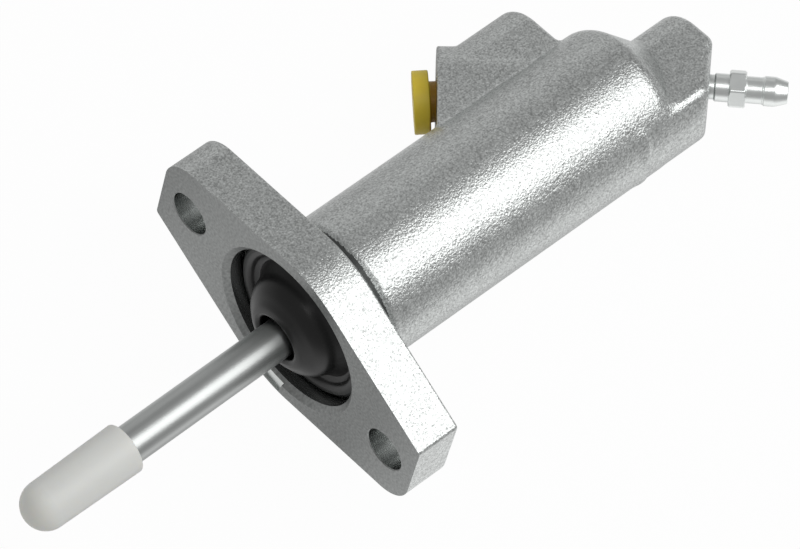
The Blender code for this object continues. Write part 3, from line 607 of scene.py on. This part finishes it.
def worked(blank, name, materials, steps):
    """The blank with each (operation, tool) Boolean applied, as one plain mesh; the tools are then removed."""
    for operation, tool in steps:
        boolean = blank.modifiers.new(tool.name, "BOOLEAN")
        boolean.operation = operation
        boolean.solver = "MANIFOLD"
        boolean.object = tool
    bpy.context.view_layer.update()
    evaluated = blank.evaluated_get(bpy.context.evaluated_depsgraph_get())
    mesh = bpy.data.meshes.new_from_object(evaluated)
    mesh.materials.clear()
    for made_of in materials:
        mesh.materials.append(made_of)
    mesh.shade_smooth()
    mesh.set_sharp_from_angle(angle=math.radians(38))
    obj = bpy.data.objects.new(name, mesh)
    bpy.context.scene.collection.objects.link(obj)
    for _, tool in steps:
        bpy.data.objects.remove(tool, do_unlink=True)
    bpy.data.objects.remove(blank, do_unlink=True)
    return obj


def block(name, low, high, place=(0.0, 0.0, 0.0), sides=((1.0, 0.0, 0.0), (0.0, 1.0, 0.0), (0.0, 0.0, 1.0))):
    """A plain box between two corners, which are measured from a place along three directions."""
    corner = np.stack(np.meshgrid(*zip(low, high), indexing="ij"), -1).reshape(-1, 3)
    corner = corner @ np.array(sides) + np.array(place)
    faces = [(0, 1, 3, 2), (4, 6, 7, 5), (0, 4, 5, 1), (2, 3, 7, 6), (0, 2, 6, 4), (1, 5, 7, 3)]
    return piece(name, corner, faces, [])


def plain_round(radius, start, end):
    """The path of a plain round bar between two places along its axis."""
    return [(start, 0, 0), (start, radius, 0), (end, radius, 0), (end, 0, 0)]


neck_core_front = 0.0060
neck_core_back = 0.0140
bore_lead = 0.0007
bolt_hole_lead = 0.0002
spot_tool_length = 0.0030
port_spot_radius = 0.0102
port_mill_low = (0, -0.0096, -0.0140)
port_mill_high = (spot_tool_length, 0.0160, 0.0140)
bleed_spot_radius = 0.0060


def housing_tools():
    """What joins the casting, and then what is cut out of it: the flange and the neck's core, and the ground,
    turned, milled and drilled hollows, most of them surfaces of revolution."""
    chamfer = recess_chamfer
    core = plain_round(neck_radius, -neck_core_front, -neck_core_back)
    yield "UNION", turned("neck_core", core, (0, 0, 0), axis, [], 160)
    yield "UNION", flange_blank()
    bore = [
        (chamfer, 0, 0),
        (chamfer, recess_radius + 2 * chamfer, 0),
        (-chamfer, recess_radius, 0),
        (-recess_depth, recess_radius, 0.0003),
        (-recess_depth, bore_radius + bore_lead, 0),
        (-recess_depth - bore_lead, bore_radius, 0),
        (-ring_groove_front, bore_radius, 0),
        (-ring_groove_front, ring_groove_radius, 0),
        (-ring_groove_back, ring_groove_radius, 0),
        (-ring_groove_back, bore_radius, 0),
        (-bore_depth, bore_radius, 0),
        (-bore_depth - bore_floor_slope, pilot_radius, 0),
        (-pilot_depth, pilot_radius, 0),
        (-pilot_tip, 0, 0),
    ]
    yield "DIFFERENCE", turned("bore_tool", bore, (0, 0, 0), axis, [], 160)
    ground = block("spot_tool", (-spot_depth, -spot_half_width, spot_foot), (0.001, spot_half_width, -0.0150))
    yield "DIFFERENCE", ground
    for side in (-1, 1):
        reach = flange_thickness + chamfer
        hole = [
            (chamfer, 0, 0),
            (chamfer, bolt_hole_radius + bolt_hole_lead + chamfer, 0),
            (-bolt_hole_lead, bolt_hole_radius, 0),
            (-reach, bolt_hole_radius, 0),
            (-reach, 0, 0),
        ]
        yield "DIFFERENCE", turned("bolt_tool", hole, (0, side * bolt_spacing / 2, 0), axis, [])
    spot = plain_round(port_spot_radius, 0.0, spot_tool_length)
    yield "DIFFERENCE", turned("port_spot_tool", spot, port_face, port_direction, [])
    away = np.cross(plane_up, port_direction)
    away *= np.sign(away @ port_side)
    sides = (port_direction, away, plane_up)
    yield "DIFFERENCE", block("port_mill_tool", port_mill_low, port_mill_high, port_face, sides)
    port = [
        (0.0005, 0, 0),
        (0.0005, port_hole_radius + 0.0010, 0),
        (-0.0005, port_hole_radius, 0),
        (-port_hole_depth, port_hole_radius, 0),
        (-port_hole_depth - 0.0015, port_drill_radius, 0),
        (-port_drill_depth, port_drill_radius, 0),
        (-port_drill_depth, 0, 0),
    ]
    yield "DIFFERENCE", turned("port_tool", port, port_face, port_direction, [])
    spot = plain_round(bleed_spot_radius, 0.0, spot_tool_length)
    yield "DIFFERENCE", turned("bleed_spot_tool", spot, bleed_face, bleed_direction, [])
    bleed = [
        (0.0005, 0, 0),
        (0.0005, bleed_hole_radius + 0.0008, 0),
        (-0.0003, bleed_hole_radius, 0),
        (-bleed_thread_depth, bleed_hole_radius, 0),
        (-bleed_seat_depth, bleed_drill_radius, 0),
        (-bleed_reach, bleed_drill_radius, 0),
        (-bleed_reach, 0, 0),
    ]
    yield "DIFFERENCE", turned("bleed_tool", bleed, bleed_face, bleed_direction, [])


def machined_areas(obj):
    """Gives each face the finish of what made it: 0 cast, 1 faced flat, 2 bored, grooved or the wall of the ground
    spot, 3 the ground spot's floor, 4 the turned neck. A hair is the error allowed in a face's place."""
    hair = 1e-5
    mesh = obj.data
    count = len(mesh.polygons)
    centre = np.empty(count * 3)
    mesh.polygons.foreach_get("center", centre)
    centre = centre.reshape(-1, 3)
    normal = np.empty(count * 3, np.float32)
    mesh.polygons.foreach_get("normal", normal)
    normal = normal.reshape(-1, 3)
    along, beside, above = centre.T
    radius = np.hypot(beside, above)
    finish = np.zeros(count, np.int32)

    neck_run_out = 0.0017
    neck = (along < -flange_thickness - hair) & (along > -neck_end - neck_run_out)
    neck &= (radius < barrel_radius - 0.0002) & (radius > bore_radius + 0.002)
    inner = (radius < recess_radius + hair) & (along > -bore_depth - bore_floor_slope - 0.001)
    inner &= ~((along < -flange_thickness + hair) & (radius > ring_groove_radius + 0.0003))
    hole = np.hypot(np.abs(beside) - bolt_spacing / 2, above) < bolt_hole_radius + hair
    hole &= along > -flange_thickness - hair
    finish[inner | hole] = 2
    finish[neck] = 4

    # Each spot face comes with the reach of its milled face and the radius within which its hole lies.
    deepest = 0.0120
    spot_faced = ((port_face, port_direction, 0.0160, 0.0056), (bleed_face, bleed_direction, 0.0061, 0.0042))
    for face, direction, face_reach, hole_reach in spot_faced:
        off = (centre - face) @ direction
        near = np.linalg.norm(centre - face, axis=1) < face_reach
        finish[(np.abs(off) < hair) & near & (normal @ direction > 0.99)] = 1
        from_axis = np.linalg.norm((centre - face) - off[:, None] * direction, axis=1)
        finish[(off < -hair) & (off > -deepest) & (from_axis < hole_reach)] = 2

    finish[(along > -recess_chamfer - hair) & (normal[:, 0] > 0.5)] = 1
    foot = (along < -hair) & (np.abs(beside) < spot_half_width + hair) & (above < -recess_radius + 0.001)
    finish[foot & (along > -spot_depth + hair) & (above > spot_foot - hair)] = 2
    finish[foot & (np.abs(along + spot_depth) < hair)] = 3
    mesh.polygons.foreach_set("material_index", finish)


cast_low = (-0.1105, -0.0325, -0.0200)
cast_high = (-0.0110, 0.0172, 0.0172)
cast_cell = 0.00048
skin_points, skin_faces = skin_of(casting_distance, cast_low, cast_high, cast_cell)
casting = piece("casting_blank", skin_points, skin_faces, [])
housing_finishes = [cast_skin(), milled_face(), turned_bore(), ground_spot(), turned_neck()]
housing = worked(casting, "housing_casting", housing_finishes, list(housing_tools()))
machined_areas(housing)
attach(housing, "housing")
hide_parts("housing")


# Inner parts. The piston with its guide ring, seal and spreader and the snap ring stay out of sight behind the
# boot, keep their CAD shapes and get the finish of turned or moulded stock. The conical spring is wound again as a
# wire on a cone.
def inner_finish(name, low, high, grain, **constants):
    """Stock that is a little uneven in colour and polish."""
    made, shader, place = finish_named(name, **constants)
    uneven = speckle(place, grain, 3.0, 0.6)
    wire(shader, "Base Color", uneven.mix(low, high))
    wire(shader, "Roughness", 0.30 + uneven * 0.25)
    wire(shader, "Normal", bumped(speckle(place, grain / 6, 2.0), 0.00002, 0.3))
    return made


inner_looks = {
    "piston": inner_finish("turned_piston", grey(0.50), grey(0.64), 0.004, Metallic=1.0),
    "guide_ring": inner_finish("guide_nylon", (0.60, 0.55, 0.42, 1), (0.72, 0.68, 0.55, 1), 0.003),
    "cup_seal": inner_finish("seal_rubber", grey(0.012), grey(0.03), 0.002),
    "seal_spreader": inner_finish("spreader_nylon", grey(0.03), grey(0.06), 0.003),
    "snap_ring": inner_finish("ring_steel", grey(0.12), grey(0.20), 0.002, Metallic=1.0),
}
for node, look in inner_looks.items():
    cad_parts[node].data.materials.clear()
    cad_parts[node].data.materials.append(look)

spring_turns = 8
spring_front = -0.0403
spring_rear = -0.0830
spring_rise = 0.0017
coil_radius = 0.0052
coil_growth = 0.0046
wire_radius = 0.0007
turn_steps = 48
wire_steps = 12


def wound_wire():
    """Round wire on a cone: point(turn, t) lies at place(turn) + wire * sin t along the bore and coil(turn) + wire
    * cos t away from it. The first and last turns climb by the small rise only, so the ends sit flat."""
    turn = np.linspace(0, spring_turns, spring_turns * turn_steps + 1)
    free = spring_turns - 2
    place = spring_front + (spring_rear - spring_front + 2 * spring_rise) * np.clip(turn - 1, 0, free) / free
    place -= spring_rise * (np.minimum(turn, 1) + np.maximum(turn - spring_turns + 1, 0))
    coil = coil_radius + coil_growth * turn / spring_turns
    t = np.arange(wire_steps) * 2 * math.pi / wire_steps
    along = place[:, None] + wire_radius * np.sin(t)
    reach = coil[:, None] + wire_radius * np.cos(t)
    angle = 2 * math.pi * turn[:, None]
    points = np.stack([along, reach * np.cos(angle), reach * np.sin(angle)], -1).reshape(-1, 3)
    ring = np.arange(wire_steps)
    caps = [ring[::-1].tolist(), (ring + wire_steps * (len(turn) - 1)).tolist()]
    return points, lattice(len(turn), wire_steps) + caps


wire_finish = inner_finish("spring_wire", grey(0.30), grey(0.42), 0.002, Metallic=1.0)
spring = piece("conical_spring", *wound_wire(), [wire_finish])
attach(spring, "housing")
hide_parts("return_spring")
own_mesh(spring)


# Push rod. Drawn 8 mm steel bar with bright zinc plating, which keeps faint draw lines along it. Its ball end sits
# in the piston and its other end in the nylon tip. It sags a little in the boot's soft opening.
def drawn_zinc():
    """Bright zinc on a drawn bar: streaks along the bar and a soft uneven polish."""
    made, shader, place = finish_named("drawn_zinc", Metallic=1.0)
    stretched = place.of("ShaderNodeMapping", None, Vector=place, Scale=(0.04, 1.0, 1.0))
    streaks = speckle(stretched, 0.00022, 3.0, 0.6)
    broad = speckle(stretched, 0.0012, 2.0)
    cloud = speckle(place, 0.006, 3.0, 0.6)
    tone = streaks * 0.4 + broad * 0.3 + cloud * 0.3
    wire(shader, "Base Color", tone.mix(bare_aluminium(0.46), bare_aluminium(0.66)))
    wire(shader, "Roughness", 0.28 + cloud * 0.12 + streaks * 0.06)
    wire(shader, "Normal", bumped(broad, 0.00003, 0.4, bumped(streaks, 0.00001, 0.5)))
    return made


rod_radius = 0.0040
rod_length = 0.0833
rod_chamfer = 0.0006
ball_round = rod_radius * 0.99
ball_centre = np.array([-0.0225, 0.0, 0.0])
sag = math.radians(1.05)
sag_roll = math.radians(-70)
sag_side = np.array([0.0, math.cos(sag_roll), math.sin(sag_roll)])
rod_direction = axis * math.cos(sag) + sag_side * math.sin(sag)
rod_path = [
    (-rod_radius, 0, 0),
    (-rod_radius, rod_radius, ball_round),
    (rod_length - rod_chamfer, rod_radius, 0),
    (rod_length, rod_radius - rod_chamfer, 0),
    (rod_length, 0, 0),
]
rod = turned("push_rod_bar", rod_path, ball_centre, rod_direction, [drawn_zinc()], 128)
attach(rod, "push_rod")
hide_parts("push_rod")


# Rod tip. Natural nylon cap, milky and slightly see-through, moulded with a faint taper and a full round nose.
def milky_nylon():
    """Unfilled nylon: light enters a little, and the surface is softly uneven."""
    made, shader, place = finish_named(
        "milky_nylon", Subsurface_Weight=0.35, Subsurface_Radius=(0.004, 0.0035, 0.0028), Subsurface_Scale=0.6
    )
    cloud = speckle(place, 0.004, 3.0, 0.6)
    fine = speckle(place, 0.0004, 2.0)
    wire(shader, "Base Color", (cloud * 0.7 + fine * 0.3).mix((0.89, 0.89, 0.83, 1), (0.94, 0.94, 0.89, 1)))
    wire(shader, "Roughness", 0.36 + fine * 0.12)
    wire(shader, "Normal", bumped(fine, 0.00002, 0.3))
    return made


tip_nose = 0.0880
tip_mouth = 0.0633
tip_floor = 0.0836
tip_bore_radius = 0.0043
tip_path = [
    (tip_nose, 0, 0),
    (tip_nose, 0.0050, 0.0049),
    (tip_mouth, 0.00535, 0.0003),
    (tip_mouth, tip_bore_radius, 0.0002),
    (tip_floor, tip_bore_radius, 0),
    (tip_floor, 0, 0),
]
tip = turned("nylon_tip", tip_path, ball_centre, rod_direction, [milky_nylon()], 128)
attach(tip, "push_rod")
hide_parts("rod_tip")


# Dust boot. One black rubber moulding: a thick bead pressed into the housing's recess, a rolled valley and a dome
# whose thick soft lip the rod passes through.
def boot_rubber():
    """Moulded rubber: deep black with a soft bloom that lies thicker in places."""
    made, shader, place = finish_named("boot_rubber", Specular_IOR_Level=0.5)
    bloom = speckle(place, 0.005, 3.0, 0.6)
    fine = speckle(place, 0.00025, 2.0)
    wire(shader, "Base Color", (bloom * 0.7 + fine * 0.3).mix(grey(0.004), grey(0.012)))
    wire(shader, "Roughness", 0.27 + bloom * 0.16)
    wire(shader, "Normal", bumped(fine, 0.00002, 0.35))
    return made


def sheet_of_revolution(name, knots, materials, steps=144, between=10):
    """A turned skin with its own thickness. Its middle line is a Catmull-Rom curve through (along, radius,
    thickness) knots, each side lies half the thickness off it, and both ends are half circles."""
    rows = np.array([knots[0], *knots, knots[-1]], float)
    t = np.arange(between)[:, None] / between
    line = []
    for p, q, r, s in zip(rows, rows[1:], rows[2:], rows[3:]):
        cubic = (2 * p - 5 * q + 4 * r - s) * t**2 + (3 * q - p - 3 * r + s) * t**3
        line.append((2 * q + (r - p) * t + cubic) / 2)
    line = np.concatenate([*line, rows[-1:]])
    tangent = np.gradient(line[:, :2], axis=0)
    tangent /= np.linalg.norm(tangent, axis=1)[:, None]
    across = np.stack([-tangent[:, 1], tangent[:, 0]], 1) * line[:, 2:] / 2
    turn = np.linspace(0, math.pi, 9)[1:-1, None]
    far = line[-1, :2] + np.cos(turn) * across[-1] + np.sin(turn) * tangent[-1] * line[-1, 2] / 2
    near = line[0, :2] - np.cos(turn) * across[0] - np.sin(turn) * tangent[0] * line[0, 2] / 2
    ring = np.concatenate([line[:, :2] + across, far, (line[:, :2] - across)[::-1], near])
    return turned(name, [(along, radius, 0) for along, radius in ring.tolist()], (0, 0, 0), axis, materials, steps)


boot_knots = [
    (-0.0048, 0.01610, 0.0028),
    (-0.0048, 0.01554, 0.0028),
    (-0.0052, 0.01460, 0.00144),
    (-0.0056, 0.01340, 0.0012),
    (-0.0050, 0.01250, 0.0012),
    (-0.0030, 0.01110, 0.0012),
    (-0.0010, 0.01030, 0.0012),
    (0.0004, 0.00920, 0.0012),
    (0.0013, 0.00790, 0.0013),
    (0.0018, 0.00680, 0.0017),
    (0.0020, 0.00590, 0.0018),
]
boot = sheet_of_revolution("rubber_boot", boot_knots, [boot_rubber()])
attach(boot, "housing")
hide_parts("dust_boot")


# Bleed screw. Turned from 7 mm hexagon steel bar: thread into the boss, relief, collar, hexagon, neck and hose
# barb, all zinc plated. The tool's fine lines run round it.
def plated_turning(name, direction, foot):
    """Satin zinc over turning marks that run round the given axis."""
    made, shader, place = finish_named(name, Metallic=1.0)
    offset = tuple(float(value) for value in foot)
    from_foot = place.of("ShaderNodeVectorMath", {"operation": "SUBTRACT"}, s0=place, s1=offset)
    heading = tuple(float(value) for value in direction)
    along = place.of("ShaderNodeVectorMath", {"operation": "DOT_PRODUCT"}, 1, s0=from_foot, s1=heading)
    lines = tool_lines(along, 6000, 3.0)
    cloud = speckle(place, 0.0025, 3.0, 0.6)
    fine = speckle(place, 0.0002, 2.0)
    wire(shader, "Base Color", (cloud * 0.6 + fine * 0.4).mix(bare_aluminium(0.92), bare_aluminium(1.0)))
    wire(shader, "Roughness", 0.24 + cloud * 0.12)
    wire(shader, "Normal", bumped(lines, 0.00001, 0.5, bumped(fine, 0.00001, 0.4)))
    return made


hex_width = 0.0070
hex_corner = hex_width / 2 / math.cos(math.pi / 6)
hex_turn = math.radians(54.5)
thread_radius = 0.0030
relief_radius = 0.0025
collar_radius = 0.00285
barb_radius = 0.0030
screw_bore_radius = 0.0005


def hexagonal(along, radius, t):
    """Where the turned radius is larger than the flats allow, the radius of a hexagon at angle t."""
    flats = hex_width / 2 / np.cos((t + hex_turn) % math.radians(60) - math.radians(30))
    return np.minimum(radius, flats)


screw_path = [
    (0.0160, 0.0010, 0),
    (0.0160, 0.0022, 0.0003),
    (0.0134, barb_radius, 0.0016),
    (0.0113, barb_radius, 0.0001),
    (0.0111, 0.0028, 0.0001),
    (0.0109, 0.0028, 0.0001),
    (0.0108, 0.0027, 0),
    (0.0076, 0.0027, 0.0002),
    (0.0076, 0.00345, 0),
    (0.0073, hex_corner - 0.00006, 0),
    (0.0045, hex_corner - 0.00006, 0),
    (0.0042, 0.00345, 0),
    (0.0042, collar_radius, 0),
    (0.0013, collar_radius, 0.0003),
    (0.0013, relief_radius, 0.0001),
    (-0.0003, relief_radius, 0),
    (-0.0008, thread_radius, 0),
    (-0.0045, thread_radius, 0),
    (-0.0064, 0.0011, 0),
    (-0.0064, screw_bore_radius, 0),
    (-0.0030, screw_bore_radius, 0),
    (-0.0030, 0.0010, 0),
]
screw_finish = plated_turning("plated_turning", bleed_direction, bleed_face)
screw = turned("bleed_screw_turning", screw_path, bleed_face, bleed_direction, [screw_finish], 144, hexagonal)
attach(screw, "bleed_screw")
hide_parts("bleed_screw")


# Port plug. Soft yellow plastic pressed into the fluid port for transport: a plain disc to pull on and a hollow
# stem with one sealing rib. It was pushed in a little askew.
def soft_plastic():
    """Yellow moulding plastic, a little see-through; the stem deep in the port is painted darker amber as painted
    shade.
    """
    made, shader, place = finish_named(
        "soft_yellow", Subsurface_Weight=0.15, Subsurface_Radius=(0.003, 0.002, 0.0006), Subsurface_Scale=0.5
    )
    cloud = speckle(place, 0.003, 3.0, 0.6)
    fine = speckle(place, 0.0003, 2.0)
    yellow = (cloud * 0.7 + fine * 0.3).mix((0.92, 0.68, 0.045, 1), (0.98, 0.76, 0.075, 1))
    side = tuple(float(value) for value in port_direction)
    depth = place.of("ShaderNodeVectorMath", {"operation": "DOT_PRODUCT"}, 1, s0=place, s1=side)
    disc_underside = float(port_face @ port_direction) + 0.0014
    # Painted shade: below the disc the stem goes to a darker amber where it lies deep in the port.
    stem = ((disc_underside - depth) * 4000.0).clamped()
    wire(shader, "Base Color", stem.mix(yellow, (0.58, 0.32, 0.015, 1)))
    wire(shader, "Roughness", 0.38 + fine * 0.14)
    wire(shader, "Normal", bumped(fine, 0.00002, 0.3))
    return made


head_top = 0.0044
head_foot = 0.0011
head_radius = 0.0064
stem_radius = 0.0041
stem_bore_radius = 0.0030
stem_end = 0.0070
seal_radius = 0.0042
plug_path = [
    (head_top, 0, 0),
    (head_top, head_radius, 0.0003),
    (head_foot, head_radius, 0.0003),
    (head_foot, stem_radius, 0.0003),
    (-0.0035, stem_radius, 0),
    (-0.0038, seal_radius, 0),
    (-0.0044, seal_radius, 0),
    (-0.0047, stem_radius, 0),
    (-stem_end, stem_radius, 0.0003),
    (-stem_end, stem_bore_radius, 0),
    (head_foot, stem_bore_radius, 0),
    (head_foot, 0, 0),
]
plug_lean = math.radians(4.1)
plug_turn_depth = 0.0018
plug_rise = 0.0020
lean_side = np.array([0.5210, 0.7559, -0.3966])
plug_direction = port_direction * math.cos(plug_lean) + lean_side * math.sin(plug_lean)
plug_direction /= np.linalg.norm(plug_direction)
plug_foot = port_face - port_direction * plug_turn_depth + plug_direction * plug_rise
plug = turned("yellow_plug", plug_path, plug_foot, plug_direction, [soft_plastic()], 128)
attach(plug, "port_plug")
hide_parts("port_plug")


# Studio. A white table, a large soft box above the far end, a small one above the rod, a weak card on the port's
# side and a pale room. The camera sees the table white, and the metal sees painted light and painted shadow on it,
# brighter or darker from place to place across the bore, standing for a lit table with the part's soft shadow.
def panel(name, centre, aim, width, height, power):
    """A rectangular soft box at the centre point that faces the aim point, its width along the bore."""
    lamp = bpy.data.lights.new(name, "AREA")
    lamp.shape = "RECTANGLE"
    lamp.size = width
    lamp.size_y = height
    lamp.energy = power
    away = (Vector(centre) - Vector(aim)).normalized()
    side = (Vector((1, 0, 0)) - away * away.x).normalized()
    made = bpy.data.objects.new(name, lamp)
    made.matrix_world = Matrix.Translation(centre) @ Matrix((side, away.cross(side), away)).transposed().to_4x4()
    bpy.context.scene.collection.objects.link(made)


panel("key_box", (-0.30, 0.25, 0.57), (-0.03, 0, 0), 0.60, 0.54, 2.15)
panel("front_box", (0.09, 0.02, 0.62), (-0.03, 0, 0), 0.30, 0.16, 0.30)
panel("left_card", (-0.25, -0.55, 0.15), (-0.03, 0, 0), 0.70, 0.34, 0.18)
room = bpy.data.worlds.new("pale_room")
room.use_nodes = True
room.node_tree.nodes["Background"].inputs["Color"].default_value = grey(1.0)
room.node_tree.nodes["Background"].inputs["Strength"].default_value = 0.33
bpy.context.scene.world = room

table_look, table_shader, table_place = finish_named("white_table", Roughness=0.8, Specular_IOR_Level=0.1)
wire(table_shader, "Base Color", speckle(table_place, 0.05).mix(grey(0.78), grey(0.80)))
ray = table_place.tree.nodes.new("ShaderNodeLightPath")
seen = Socket(table_place.tree, ray.outputs["Is Camera Ray"])
mirrored = Socket(table_place.tree, ray.outputs["Is Glossy Ray"])
through = Socket(table_place.tree, ray.outputs["Is Transmission Ray"])
beside = part_of(table_place, 1)
# Painted light and shadow that the metal sees on the table: its brightness at places across the bore in metres.
lit_levels = [
    (-0.10, 0.45),
    (-0.05, 0.56),
    (-0.028, 0.82),
    (0.020, 0.58),
    (0.032, 0.88),
    (0.055, 1.0),
    (0.10, 0.68),
    (0.18, 0.44),
]
ramp_scale = 2.5
ramp_middle = 0.5
stops = [(y * ramp_scale + ramp_middle, grey(level)) for y, level in lit_levels]
lit_table = beside.of("ShaderNodeValToRGB", {"stops": stops}, s0=beside * ramp_scale + ramp_middle)
glow = table_place.node("ShaderNodeEmission", None, Color=mirrored.mix(grey(1.0), lit_table), Strength=1.0)
glow_share = 0.97
share = (seen * glow_share + through * glow_share + mirrored * glow_share).clamped()
blend = table_place.node("ShaderNodeMixShader", None, s0=share)
table_place.tree.links.new(table_shader.outputs[0], blend.inputs[1])
table_place.tree.links.new(glow.outputs[0], blend.inputs[2])
table_place.tree.links.new(blend.outputs[0], table_place.tree.nodes["Material Output"].inputs["Surface"])
table_height = -0.0225
table_reach = 6.0
table_corners = [(x * table_reach, y * table_reach, table_height) for x, y in ((-1, -1), (1, -1), (1, 1), (-1, 1))]
table_top = bpy.data.meshes.new("white_table")
table_top.from_pydata(table_corners, [], [(0, 1, 2, 3)])
table_top.materials.append(table_look)
table = bpy.data.objects.new("white_table", table_top)
bpy.context.scene.collection.objects.link(table)

bpy.context.scene.view_settings.view_transform = "Standard"
